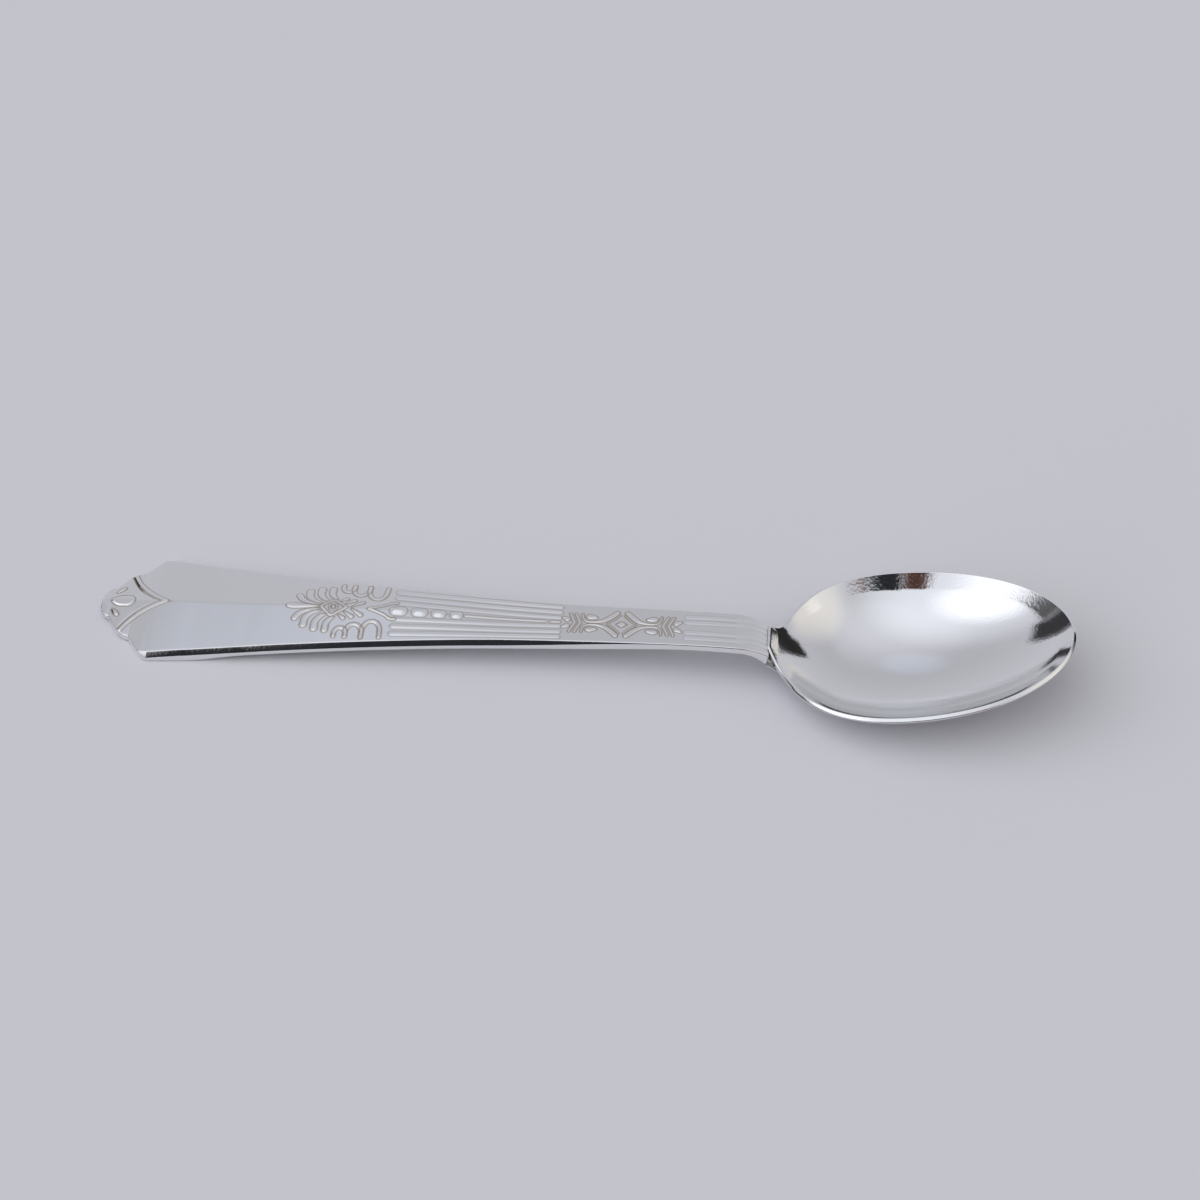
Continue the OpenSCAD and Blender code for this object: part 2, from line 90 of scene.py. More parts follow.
# What makes the egg of an ellipse: a polynomial in u.
def swell(u):
    return np.polyval(bowl["eggShares"][::-1], u)


eggTries = np.linspace(-1, 1, 121)  # where the widest place is looked for
eggHalf = bowl["width"] / np.max(np.sqrt(1 - eggTries ** 2) * swell(eggTries)) / 2
rimSlope = math.tan(math.radians(bowl["rimTilt"])) * bowl["length"] / 2


# Share of the depth at hollow value g: a round section, flatter towards the heel, that runs on outside
# the rim.
def cup(g, u):
    flatter = ease((-u - 1) / bowl["heelReachShare"] + 1)
    radius = lerp(bowl["roundShare"], bowl["heelRoundShare"], flatter)
    rest = np.sqrt(radius ** 2 - 1)
    return (np.sqrt(rest ** 2 + g) - rest) / (radius - rest)


# Height along the middle: the rim's tilted line with its dip, less the hollow.
def keel(u):
    return u * rimSlope + u * u * bowl["rimDip"] - bowl["depth"] * cup(1 - u * u, u)


keelTries = np.linspace(-1, 1, 321)  # where the lowest place is looked for
lowAt = keelTries[np.argmin(keel(keelTries))]
rimMiddle = bowl["sheet"] - np.min(keel(keelTries))
tipSlope = math.atan((keel(1) - keel(1 - probe)) / (probe * bowl["length"] / 2))
bowlMid = spoonLength / 2 - bowl["sheet"] * math.sin(tipSlope) - bowl["length"] / 2
tipX = bowlMid + bowl["length"] / 2
heelX = bowlMid - bowl["length"] / 2 - bowl["heelLength"]
lowX = bowlMid + lowAt * bowl["length"] / 2


# Height of the inner face: the same line less the hollow, over egg-shaped level curves that are straight
# across the heel.
def bowlHeight(x, y):
    u = (x - bowlMid) * 2 / bowl["length"]
    v = y / eggHalf / swell(u)
    across = ease((x - heelX) / bowl["heelFlare"]) * v * v
    hollow = bowl["depth"] * cup(1 - u * u - across, u)
    return rimMiddle + u * rimSlope + u * u * bowl["rimDip"] - hollow


# Point at depth d behind the inner face, square to it.
def behind(x, y, d):
    x, y, d = np.broadcast_arrays(*(np.asarray(value, float) for value in (x, y, d)))
    east = slope(lambda a: bowlHeight(a, y), x)
    north = slope(lambda a: bowlHeight(x, a), y)
    square = np.stack([-east, -north, np.ones_like(east)], -1)
    square /= np.linalg.norm(square, axis=-1, keepdims=True)
    return np.stack([x, y, bowlHeight(x, y)], -1) - d[..., None] * square


# Half-breadth of the egg: half an ellipse times the swell.
def eggAt(x):
    u = np.clip((x - bowlMid) * 2 / bowl["length"], -1, 1)
    return eggHalf * np.sqrt(1 - u * u) * swell(u)


# Half-breadth of the rim: the egg, and from the heel's corner a smooth curve into it.
def rimHalf(x):
    run = bowl["heelFlare"]
    join = heelX + run
    t = np.clip((x - heelX) / run, 0, 1)
    flare = hermite(bowl["heelWidth"] / 2, bowl["flareShare"] * run, eggAt(join), slope(eggAt, join) * run, t)
    return np.where(x < join, flare, eggAt(x))


# The heel's near corner in plan: a quadratic curve from the near rim to the straight cut across the heel.
def cornerLine(count=16):
    start = heelX + bowl["cornerRun"]
    edge = -rimHalf(start)
    a = np.array([start, edge])
    b = np.array([heelX, edge + slope(rimHalf, start) * bowl["cornerRun"]])
    c = np.array([heelX, bowl["cornerEnd"]])
    return pulledCurve(a, b, c, np.linspace(0, 1, count)[:, None])


# The heel is cut off upright, so at the back of the sheet it ends further in, by a length found in a few
# rounds.
def uprightCut(rounds=8):
    cut = 0.0
    for _ in range(rounds):
        cut = heelX + cut - behind(heelX + cut, 0.0, bowl["sheet"])[0]
    return cut


heelCut = uprightCut()

# Handle: s is the distance from its end. The tang at its other end runs under the bowl.
handle = {
    "headWidth": 19.9, "neckWidth": 7.0, "headThickness": 2.0, "shaftThickness": 1.5, "neckThickness": 1.15,
    "ridgeHeight": 1.0, "bevelWidth": 0.6, "bevelHeight": 0.75, "finialLength": 8.7, "bendLength": 3.9,
    "neckStep": 1.231,
    "backShares": ((0, 0.072), (0.09, 0), (0.15, 0), (0.234, 0.161), (0.325, 0.282), (0.538, 0.519),
                   (0.762, 0.73), (0.944, 0.972), (1, 1)),
    "cornerShares": ((0, 0.08), (0.17, 0.29), (0.38, 0.56), (0.6, 0.65), (1, 1)),
    "taperPower": 1.62, "taperShare": 0.914, "headShare": 0.152, "shaftShares": (0.244, 0.761),
    "neckShare": 0.944, "ridgeShares": (0.365, 0.67), "finialRidgeShare": 0.35, "finialEdgeShare": 0.3,
    "headRiseShares": (-0.35, 2.0), "bevelShares": (0.609, 0.893), "leastBevelShare": 0.2,
    "edgeRadius": 0.09, "backRadius": 0.28, "ridgeRadius": 0.12,
    "crown": 0.25, "edgeFade": 0.35, "creviceReach": 0.15, "creviceSteepness": 0.5, "grooveLimit": 0.1,
    "shoulderDrop": 1.15, "shoulderGap": 0.06, "shoulderWallShare": 0.003,
    "tangWidth": 6.4, "tangLength": 7.5, "tangThickness": 0.8, "tangStartShare": 0.5, "tangRoundShare": 0.45,
    "tangTipShare": 0.3,
}
heelEdge = behind(heelX, 0.0, bowl["sheet"])
handleLength = heelEdge[0] - handle["bendLength"] + spoonLength / 2
neckTop = heelEdge[2] + handle["neckStep"]
neckBack = neckTop - handle["neckThickness"]


# Smooth curve through a table: cubics between its entries, with the mean of the slopes to both sides of
# each, or level beside a level stretch. It starts level and ends with three quarters of the last slope.
def smoothTable(table, p):
    places, values = np.array(table, float).T
    slopes = np.diff(values) / np.diff(places)
    rates = np.zeros(len(places))
    rates[1:-1] = np.where(slopes[:-1] * slopes[1:] == 0, 0, (slopes[:-1] + slopes[1:]) / 2)
    rates[-1] = slopes[-1] * 3 / 4
    i = np.clip(np.searchsorted(places, p, side="right") - 1, 0, len(places) - 2)
    run = places[i + 1] - places[i]
    return hermite(values[i], rates[i] * run, values[i + 1], rates[i + 1] * run, (p - places[i]) / run)


# Height of the back: its table times the height at the neck.
def backHeight(s):
    return neckBack * smoothTable(handle["backShares"], s / handleLength)


# Half-width: a round tongue, a straight flare and two round lobes, then a taper to the neck.
def handleHalf(s):
    p = np.clip(s / handle["finialLength"], 0, 1)
    places, values = np.array(handle["cornerShares"]).T
    k = np.clip(np.searchsorted(places, p, side="right") - 1, 0, len(places) - 2)
    t = (p - places[k]) / (places[k + 1] - places[k])
    part = np.where(k == 0, np.sqrt(1 - (1 - t) ** 2), np.where(k == 1, t, np.sin(math.pi / 2 * t)))
    finial = lerp(values[k], values[k + 1], part) * handle["headWidth"] / 2
    run = handle["taperShare"] * handleLength - handle["finialLength"]
    t = np.clip(1 - (s - handle["finialLength"]) / run, 0, None)
    spread = (handle["headWidth"] - handle["neckWidth"]) / 2
    taper = handle["neckWidth"] / 2 + spread * t ** handle["taperPower"]
    return np.where(s < handle["finialLength"], finial, taper)


# Thickness at the edge: the head's, thinner towards the end, then smoothly the shaft's and the neck's.
def edgeThickness(s):
    p = s / handleLength
    rise = step(s / handle["finialLength"], *handle["headRiseShares"])
    head = handle["headThickness"] * lerp(handle["finialEdgeShare"], 1, rise)
    shaft = lerp(head, handle["shaftThickness"], step(p, handle["headShare"], handle["shaftShares"][0]))
    return lerp(shaft, handle["neckThickness"], step(p, handle["shaftShares"][1], handle["neckShare"]))


# Height of the ridge over the edge: it rises along the finial, and falls to nothing along the shaft.
def ridgeHeight(s):
    rise = lerp(handle["finialRidgeShare"], 1, ease(s / handle["finialLength"]))
    return handle["ridgeHeight"] * rise * (1 - step(s / handleLength, *handle["ridgeShares"]))


# The bevel is cut straight along the side, so it runs out where the last lobe turns in.
def bevelShare(s):
    least = handle["leastBevelShare"]
    inset = np.where(s < handle["finialLength"], handle["headWidth"] / 2 - handleHalf(s), 0)
    start = np.maximum(1 - inset / handle["bevelWidth"], least)
    return start * lerp(1, least, step(s / handleLength, *handle["bevelShares"]))


# Half-width of the face between the bevels.
def innerHalf(s):
    return handleHalf(s) - np.minimum(handle["bevelWidth"] * bevelShare(s), handleHalf(s) / 2)


# Ornament: each stroke is (height, edge, points), a smooth line of (along, across, half-width), mirrored
# across the middle. It rises over its edge, at both sides of the line, to its height, and its top is a
# little rounded.
ornament = {
    "finial": [
        (0.18, 0.32, [(1.95, 0, 0.6), (2.8, 0, 1.05), (3.8, 0, 1.1)]),
        (0.15, 0.25, [(1.9, 1.75, 0.2), (2.35, 2.25, 0.38), (2.75, 2.65, 0.32)]),
        (0.13, 0.27, [(3.7, 5.6, 0.36), (4.6, 4.05, 0.38), (5.7, 2.7, 0.38), (7.0, 1.55, 0.38),
                      (8.3, 0.65, 0.38), (9.6, 0, 0.34)]),
    ],
    "petals": [
        (0.13, 0.28, [(27.6, 0, 0.42), (28.4, 0, 0.58), (30.3, 0, 0.4), (32.1, 0, 0.14)]),
        (0.13, 0.28, [(28.85, 2.25, 0.5), (29.5, 1.3, 0.44), (30.7, 0.74, 0.3), (32.1, 0.44, 0.14)]),
        (0.13, 0.28, [(30.27, 3.35, 0.56), (30.4, 2.1, 0.52), (31.2, 1.22, 0.38), (32.4, 0.82, 0.16)]),
        (0.13, 0.28, [(31.9, 3.9, 0.58), (31.95, 2.7, 0.52), (32.55, 1.77, 0.4), (33.25, 1.42, 0.16)]),
        (0.13, 0.28, [(33.5, 4.1, 0.52), (33.55, 2.95, 0.47), (34.0, 2.17, 0.36), (34.5, 1.82, 0.16)]),
    ],
    "eye": [
        (0.12, 0.22, [(32.35, 0, 0.24), (33.2, 0.85, 0.24), (34.0, 1.5, 0.24), (35.0, 0.85, 0.24),
                      (36.1, 0, 0.24)]),
        (0.1, 0.16, [(33.55, 0, 0.16), (33.75, 0.46, 0.16), (34.15, 0.64, 0.16), (34.55, 0.46, 0.16),
                     (34.75, 0, 0.16)]),
        (0.12, 0.2, [(34.1, 0, 0.22), (34.2, 0, 0.22)]),
        (0.12, 0.24, [(35.08, 1.36, 0.14), (35.85, 1.9, 0.36)]),
        (0.12, 0.24, [(35.84, 0.78, 0.14), (37.05, 1.6, 0.37)]),
        (0.12, 0.24, [(36.85, 0.25, 0.14), (38.3, 1.22, 0.38)]),
    ],
    "arches": [
        (0.13, 0.27, [(34.93, 5.1, 0.34), (34.95, 4.4, 0.34), (35.3, 3.78, 0.34), (35.75, 3.62, 0.34),
                      (36.22, 3.78, 0.34), (36.55, 4.4, 0.34), (36.57, 5.1, 0.34)]),
        (0.13, 0.27, [(36.57, 5.1, 0.34), (36.6, 3.9, 0.34), (37.0, 3.14, 0.34), (37.65, 2.9, 0.34),
                      (38.3, 3.14, 0.34), (38.8, 3.9, 0.34), (38.86, 5.1, 0.34)]),
        (0.13, 0.27, [(38.86, 5.0, 0.34), (38.95, 3.5, 0.34), (39.4, 2.54, 0.34), (40.2, 2.2, 0.34),
                      (40.95, 2.54, 0.34), (41.4, 3.5, 0.34), (41.5, 4.9, 0.34)]),
        (0.12, 0.24, [(39.3, 0, 0.25), (40.65, 0.5, 0.24), (41.7, 0.97, 0.24), (42.5, 1.52, 0.26),
                      (43.3, 1.6, 0.26)]),
    ],
    "beads": [
        (0.32, 0.9, [(43.25, 0, 0.96), (44.05, 0, 0.96)]),
        (0.3, 0.86, [(46.35, 0, 0.91), (47.05, 0, 0.91)]),
        (0.28, 0.8, [(49.2, 0, 0.85), (49.8, 0, 0.85)]),
        (0.26, 0.76, [(51.85, 0, 0.8), (52.3, 0, 0.8)]),
    ],
    "reeds": [
        (0.1, 0.42, [(43.2, 1.6, 0.46), (55, 1.2, 0.44), (67, 0.82, 0.38)]),
        (0.1, 0.42, [(43.2, 2.85, 0.48), (55, 2.38, 0.46), (67, 1.95, 0.42)]),
        (0.1, 0.42, [(43.2, 4.15, 0.5), (55, 3.5, 0.48), (67, 2.95, 0.42)]),
        (0.1, 0.26, [(53.7, 0, 0.3), (54.4, 0, 0.26), (65, 0, 0.24)]),
        (0.1, 0.26, [(65.7, 0, 0.24), (67, 0, 0.24)]),
    ],
    "strapwork": [
        (0.12, 0.28, [(67.5, 0.95, 0.26), (68.1, 0.62, 0.46)]),
        (0.11, 0.23, [(68.5, 1.75, 0.22), (69.2, 0, 0.24)]),
        (0.11, 0.23, [(69.3, 1.75, 0.22), (70.0, 0, 0.24)]),
        (0.12, 0.22, [(70.25, 1.75, 0.18), (70.4, 0.9, 0.2), (71.0, 0.33, 0.2), (72.3, 0.3, 0.24),
                      (73.4, 0.62, 0.36), (74.3, 1.32, 0.42), (75.2, 2.25, 0.4)]),
        (0.13, 0.28, [(70.95, 1.3, 0.24), (71.4, 1.25, 0.5), (72.2, 1.15, 0.3)]),
        (0.09, 0.14, [(73.95, 0.1, 0.14), (74.75, 0.8, 0.15), (75.6, 1.75, 0.15)]),
        (0.13, 0.26, [(75.35, 0, 0.22), (75.95, 0, 0.56)]),
    ],
    "neck": [
        (0.05, 0.4, [(85.3, 1.0, 0.45), (89.5, 1.02, 0.42), (93.5, 1.05, 0.38)]),
        (0.05, 0.4, [(85.3, 2.05, 0.45), (89.5, 2.1, 0.42), (93.5, 2.1, 0.38)]),
    ],
}
# The strapwork's second half mirrors its first.
strapMiddle = 75.95
ornament["strapwork"] += [(tall, edge, [(2 * strapMiddle - s, y, r) for s, y, r in points])
                          for tall, edge, points in ornament["strapwork"]]
# Cut lines, with the same values and a depth in place of a height.
grooves = [
    (0.14, 0.16, [(3.3, 5.3, 0.2), (4.3, 3.55, 0.18), (5.2, 2.35, 0.16), (6.1, 1.5, 0.14), (7.7, 0.4, 0.12)]),
]


# Smooth line through points: a cubic with the slope at each point from its two neighbours.
def smoothLine(points, cuts=5):
    p = np.array(points, float)
    if len(p) < 3:
        return p
    rates = np.gradient(p, axis=0)
    t = np.linspace(0, 1, cuts, endpoint=False)[:, None, None]
    line = hermite(p[:-1], rates[:-1], p[1:], rates[1:], t)
    return np.concatenate([line.transpose(1, 0, 2).reshape(-1, 3), p[-1:]])


# Height of one stroke over a grid, and the distance outside it: the largest of its segments' profiles.
def strokeOver(s, y, points, edge):
    line = smoothLine(points)
    profile = np.zeros_like(s)
    outside = np.full_like(s, np.inf)
    for a, b in zip(line[:-1], line[1:]):
        run = b[:2] - a[:2]
        t = np.clip(((s - a[0]) * run[0] + (y - a[1]) * run[1]) / (run @ run), 0, 1)
        r = lerp(a[2], b[2], t)
        d = np.hypot(s - a[0] - t * run[0], y - a[1] - t * run[1])
        rounded = 1 - handle["crown"] * np.minimum(d / r, 1) ** 2
        profile = np.maximum(profile, ease((r - d) / edge) * rounded)
        outside = np.minimum(outside, d - r)
    return profile, outside


# Relief: the highest stroke at each place less the cut lines, and how near it lies to the foot of a stroke,
# which sets the painted crevice shade.
def reliefOver(s, y):
    height, crevice = np.zeros_like(s), np.zeros_like(s)
    margin = 1.5  # more than any stroke's half-width and the reach of its foot
    for strokes, raised in [(group, True) for group in ornament.values()] + [(grooves, False)]:
        for tall, edge, points in strokes:
            along = np.array(points)[:, 0]
            rows = np.flatnonzero((s[:, 0] > along.min() - margin) & (s[:, 0] < along.max() + margin))
            profile, outside = strokeOver(s[rows], np.abs(y[rows]), points, edge)
            if raised:
                height[rows] = np.maximum(height[rows], tall * profile)
                steep = min(tall / edge / handle["creviceSteepness"], 1)
                near = np.clip(1 - np.abs(outside) / handle["creviceReach"], 0, 1) * steep
            else:
                height[rows] -= tall * profile * (height[rows] < handle["grooveLimit"])
                near = profile
            crevice[rows] = np.maximum(crevice[rows], near)
    return height, crevice


# Points on the strap's outline: half of the back, each rounded corner, and the face.
backPoints, cornerPoints, facePoints = 6, 4, 104
faceStart = backPoints + 3 * cornerPoints
faceSpan = slice(faceStart, faceStart + facePoints)
faceMiddle = faceStart + facePoints // 2


# Corner between a and b rounded by a quadratic curve that starts and ends a radius away, or at most a
# share of each side.
def roundCorner(corner, a, b, radius, count=cornerPoints, most=0.45):
    def along(p):
        d = p - corner
        size = np.linalg.norm(d, axis=-1, keepdims=True)
        return corner + d / size * np.minimum(radius, most * size)
    t = np.linspace(0, 1, count)[:, None]
    return pulledCurve(along(a)[:, None], corner[:, None], along(b)[:, None], t)


# Closed outline of the strap in (across, height over the back), with a level face: half of the back from its
# middle, the far side, its bevel and the face, then the near side as a mirror of the far one.
def strapOutline(w, v, side, top, middle):
    zero = np.zeros_like(w)
    backMiddle, ridge = np.stack([zero, zero], -1), np.stack([zero, middle], -1)
    backEdge, sideEdge, faceEdge = np.stack([w, zero], -1), np.stack([w, side], -1), np.stack([v, top], -1)
    backRadius = np.minimum(handle["backRadius"], side / 2)[:, None]
    corners = np.concatenate([
        roundCorner(backEdge, backMiddle, sideEdge, backRadius),
        roundCorner(sideEdge, backEdge, faceEdge, handle["edgeRadius"]),
        roundCorner(faceEdge, sideEdge, ridge, handle["edgeRadius"]),
    ], axis=1)
    y = -corners[:, -1, :1] * np.linspace(-1, 1, facePoints + 2)[1:-1]
    face = np.stack([y, np.broadcast_to(top[:, None], y.shape)], -1)
    back = corners[:, :1] * np.linspace(0, 1, backPoints, endpoint=False)[:, None]
    mirror = np.array([-1, 1])
    nearCorners, nearBack = (corners * mirror)[:, ::-1], (back * mirror)[:, :0:-1]
    return np.concatenate([back, corners, face, nearCorners, nearBack], axis=1)


# Handle outlines at s, with the soft ridge and the relief on the face, and how far each point lies in a
# crevice, which sets the painted crevice shade.
def handleLoops(s):
    w, v, top = handleHalf(s), innerHalf(s), edgeThickness(s)
    side = top - handle["bevelHeight"] * bevelShare(s)
    loop = strapOutline(w, v, side, top, top + ridgeHeight(s))
    y = loop[:, faceSpan, 0]
    soft = handle["ridgeRadius"]
    fall = (np.sqrt(y * y + soft * soft) - soft) / v[:, None]
    relief, crevice = reliefOver(np.broadcast_to(s[:, None], y.shape), y)
    inside = ease((v[:, None] - np.abs(y)) / handle["edgeFade"])
    loop[:, faceSpan, 1] = top[:, None] + ridgeHeight(s)[:, None] * (1 - fall) + relief * inside
    recess = np.zeros(loop.shape[:2])
    recess[:, faceSpan] = crevice
    x = np.broadcast_to((s - spoonLength / 2)[:, None], loop.shape[:2])
    return np.stack([x, loop[..., 0], backHeight(s)[:, None] + loop[..., 1]], -1), recess


# Solder: its film lies between bowl and tang, with a clearance on both sides. Lumps are waves in the fillets'
# width: (share, radians for each mm, start).
solder = {"film": 0.2, "fillet": 0.5, "clearance": 0.05, "lapShare": 0.4, "dropShare": 0.6,
          "spreadShare": 0.8, "lumps": ((0.25, 5.1, 0.0), (0.2, 11.3, 1.0))}
solderBack = bowl["sheet"] + solder["clearance"]
tangSeat = bowl["sheet"] + solder["film"] + 2 * solder["clearance"]
tangStart = heelX + bowl["heelLength"] * handle["tangStartShare"]
tangEnd = tangStart + handle["tangLength"]


# Half-width of the tang: straight, with a round end.
def tangHalf(x):
    t = np.clip((x - tangEnd) / handle["tangLength"] / handle["tangRoundShare"] + 1, 0, None)
    return handle["tangWidth"] / 2 * lerp(handle["tangTipShare"], 1, np.sqrt(np.clip(1 - t * t, 0, None)))


# Depth of the tang's back behind the bowl's inner face: thinner smoothly towards its end.
def tangDepth(x):
    thin = lerp(1, handle["tangTipShare"], step(x, tangStart, tangEnd))
    return tangSeat + handle["tangThickness"] * thin


# Tang outlines at x: the strap's outline laid on the bowl's back over the solder.
def tangLoops(x):
    w, low = tangHalf(x), tangDepth(x)
    v, top = w - handle["bevelWidth"] * handle["leastBevelShare"], low - tangSeat
    loop = strapOutline(w, v, top * (1 - handle["leastBevelShare"]), top, top)
    return behind(x[:, None], loop[..., 0], low[:, None] - loop[..., 1])


# Bend at share t: each point of the neck's outline runs along a cubic to its place on the tang.
def bendLoops(t):
    neck = handleLoops(np.array([handleLength - probe, handleLength]))[0]
    foot = tangLoops(np.array([tangStart, tangStart + probe]))
    run = foot[0][0, 0] - neck[1][0, 0]
    return hermite(neck[1], (neck[1] - neck[0]) / probe * run, foot[0], (foot[1] - foot[0]) / probe * run,
                   t.reshape(len(t), -1, 1))


# Line of the face's middle down the bend, to look up shares by place.
bendTries = np.linspace(0, 1, 201)
bendX, bendZ = bendLoops(bendTries)[:, faceMiddle][:, [0, 2]].T


# The neck's face falls along a parabola to a small shoulder against the heel, and the tang goes on below it.
def shoulderLoops(rowsAbove=26, rowsBelow=7):
    neckLoop = handleLoops(np.array([handleLength]))[0][0]
    cornerX, cornerY = cornerLine().T
    heelAt = np.interp(neckLoop[:, 1], cornerY, cornerX)
    end = np.interp(heelAt - handle["shoulderGap"], bendX, bendTries)
    wall = handle["shoulderWallShare"]
    above = np.concatenate([np.linspace(0, 1, rowsAbove)[:, None] * end, end[None] + wall])
    below = lerp(end + 2 * wall, 1, np.linspace(0, 1, rowsBelow, endpoint=False)[:, None])
    t = np.concatenate([above, below])
    x, z = np.interp(t, bendTries, bendX), np.interp(t, bendTries, bendZ)
    lift = neckTop - handle["shoulderDrop"] * ((x - x[0]) / (heelX - x[0])) ** 2 - z
    lift[len(above):] = 0
    neck = neckLoop[:, 2]
    loops = bendLoops(t)
    loops[..., 2] += lift * (neck - neck.min()) / (neck.max() - neck.min())
    return loops


# Skin over a row of closed loops, with a fan over each end.
def sweptFaces(rows, columns):
    ring = np.arange(columns)
    after = (ring + 1) % columns
    row = np.arange(rows - 1)[:, None] * columns
    quads = np.stack([row + ring, row + after, row + after + columns, row + ring + columns], -1)
    last, poles = (rows - 1) * columns, rows * columns
    first = np.stack([ring, np.full(columns, poles), after], -1)
    end = np.stack([last + after, np.full(columns, poles + 1), last + ring], -1)
    return quads.reshape(-1, 4), np.concatenate([first, end])


# Points of the loops, and the middles of the first and last one for the fans.
def sweptPoints(loops):
    middles = np.stack([loops[0].mean(0), loops[-1].mean(0)])
    return np.concatenate([loops.reshape(-1, 3), middles])


# Mesh from points in millimetres and arrays of faces, all turned outwards together by the sign of the volume.
def makePiece(name, points, faceSets, node, material, recess=None):
    triangles = np.concatenate([f[:, [0, i, i + 1]] for f in faceSets for i in range(1, f.shape[1] - 1)])
    a, b, c = points[triangles].transpose(1, 0, 2)
    volume = (a * np.cross(b, c)).sum() / 6
    if volume < 0:
        faceSets = [f[:, ::-1] for f in faceSets]
    faces = [face for f in faceSets for face in f.tolist()]
    mesh = bpy.data.meshes.new(name)
    mesh.from_pydata((points * mm).tolist(), [], faces)
    mesh.polygons.foreach_set("use_smooth", np.ones(len(faces), bool))
    # The recess share sets where the plate's material paints its crevice shade.
    if recess is not None:
        mesh.attributes.new("recess", "FLOAT", "POINT").data.foreach_set("value", recess.astype(np.float32))
    mesh.update()
    piece = bpy.data.objects.new(name, mesh)
    bpy.context.scene.collection.objects.link(piece)
    mesh.materials.append(material)
    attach(piece, "root")
    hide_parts(node)
    print(name, len(triangles), "triangles,", round(abs(volume), 1), "cubic mm")
    return piece


# Linear colour from an sRGB hex value.
def linear(hexText):
    c = np.array([int(hexText[i:i + 2], 16) for i in (0, 2, 4)]) / 255
    c = np.where(c <= 0.04045, c / 12.92, ((c + 0.055) / 1.055) ** 2.4)
    return (*c.tolist(), 1.0)


# Adds a node with its settings. Inputs go by name, or by number as i0, i1 and so on, and are plain values,
# sockets to link, or nodes, whose first output is linked.
def addNode(tree, kind, settings=(), **inputs):
    node = tree.nodes.new(kind)
    for key, value in dict(settings).items():
        setattr(node, key, value)
    for key, value in inputs.items():
        socket = node.inputs[int(key[1:]) if key[1:].isdigit() else key.replace("_", " ")]
        if isinstance(value, bpy.types.Node):
            value = value.outputs[0]
        if isinstance(value, bpy.types.NodeSocket):
            tree.links.new(value, socket)
        else:
            socket.default_value = value
    return node


# Empty material with its node tree.
def newMaterial(name):
    material = bpy.data.materials.new(name)
    material.use_nodes = True
    material.node_tree.nodes.clear()
    return material, material.node_tree


# Most of a noise texture's values lie between these.
noiseLow, noiseHigh = 0.3, 0.7

# Polished silver plate: near-white mirror, with a fine ripple from polishing that breaks the edges of
# reflections, and painted shade: a thin tan tint in the crevices of the struck ornament. Polishing marks are
# finer than the render can show, so the ripple is drawn coarser.
silver = {"colour": "f0f0f0", "creviceShadeColour": "968058", "creviceShadeShare": 0.85, "rippleMm": 0.4, "rippleHeightMm": 0.009,
          "rippleDetail": 2.0, "hazeMm": 9.0, "hazeDetail": 3.0, "smooth": 0.04, "dull": 0.09}


def silverPlate():
    material, tree = newMaterial("polishedSilverPlate")
    place = addNode(tree, "ShaderNodeTexCoord").outputs["Object"]
    recess = addNode(tree, "ShaderNodeAttribute", {"attribute_name": "recess"}).outputs["Fac"]
    haze = addNode(tree, "ShaderNodeTexNoise", Vector=place, Scale=1 / mm / silver["hazeMm"],
                   Detail=silver["hazeDetail"]).outputs["Fac"]
    rough = addNode(tree, "ShaderNodeMapRange", Value=haze, From_Min=noiseLow, From_Max=noiseHigh,
                    To_Min=silver["smooth"], To_Max=silver["dull"])
    ripple = addNode(tree, "ShaderNodeTexNoise", Vector=place, Scale=1 / mm / silver["rippleMm"],
                     Detail=silver["rippleDetail"]).outputs["Fac"]
    bump = addNode(tree, "ShaderNodeBump", Height=ripple, Strength=1.0,
                   Distance=silver["rippleHeightMm"] * mm)
    # Painted shade: towards the foot of each stroke the plate's colour is mixed with the tan crevice tint.
    shade = addNode(tree, "ShaderNodeMath", {"operation": "MULTIPLY"}, i0=recess, i1=silver["creviceShadeShare"])
    colour = addNode(tree, "ShaderNodeMix", {"data_type": "RGBA"}, i0=shade, i6=linear(silver["colour"]),
                     i7=linear(silver["creviceShadeColour"]))
    shader = addNode(tree, "ShaderNodeBsdfPrincipled", Metallic=1.0, Base_Color=colour.outputs[2],
                     Roughness=rough, Normal=bump)
    addNode(tree, "ShaderNodeOutputMaterial", Surface=shader)
    return material


# Silver solder: duller and greyer than the plate, with a lumpy skin where it froze.
solderLook = {"colour": "b9b8b4", "grain": "8c8a85", "lumpMm": 0.5, "lumpHeightMm": 0.03, "lumpDetail": 4.0,
              "smooth": 0.22, "dull": 0.4}


def silverSolder():
    material, tree = newMaterial("silverSolder")
    place = addNode(tree, "ShaderNodeTexCoord").outputs["Object"]
    lumps = addNode(tree, "ShaderNodeTexNoise", Vector=place, Scale=1 / mm / solderLook["lumpMm"],
                    Detail=solderLook["lumpDetail"]).outputs["Fac"]
    rough = addNode(tree, "ShaderNodeMapRange", Value=lumps, From_Min=noiseLow, From_Max=noiseHigh,
                    To_Min=solderLook["smooth"], To_Max=solderLook["dull"])
    bump = addNode(tree, "ShaderNodeBump", Height=lumps, Strength=1.0,
                   Distance=solderLook["lumpHeightMm"] * mm)
    colour = addNode(tree, "ShaderNodeMix", {"data_type": "RGBA"}, i0=lumps, i6=linear(solderLook["grain"]),
                     i7=linear(solderLook["colour"]))
    shader = addNode(tree, "ShaderNodeBsdfPrincipled", Metallic=1.0, Base_Color=colour.outputs[2],
                     Roughness=rough, Normal=bump)
    addNode(tree, "ShaderNodeOutputMaterial", Surface=shader)
    return material


plate = silverPlate()
solderSkin = silverSolder()
print("materials made")

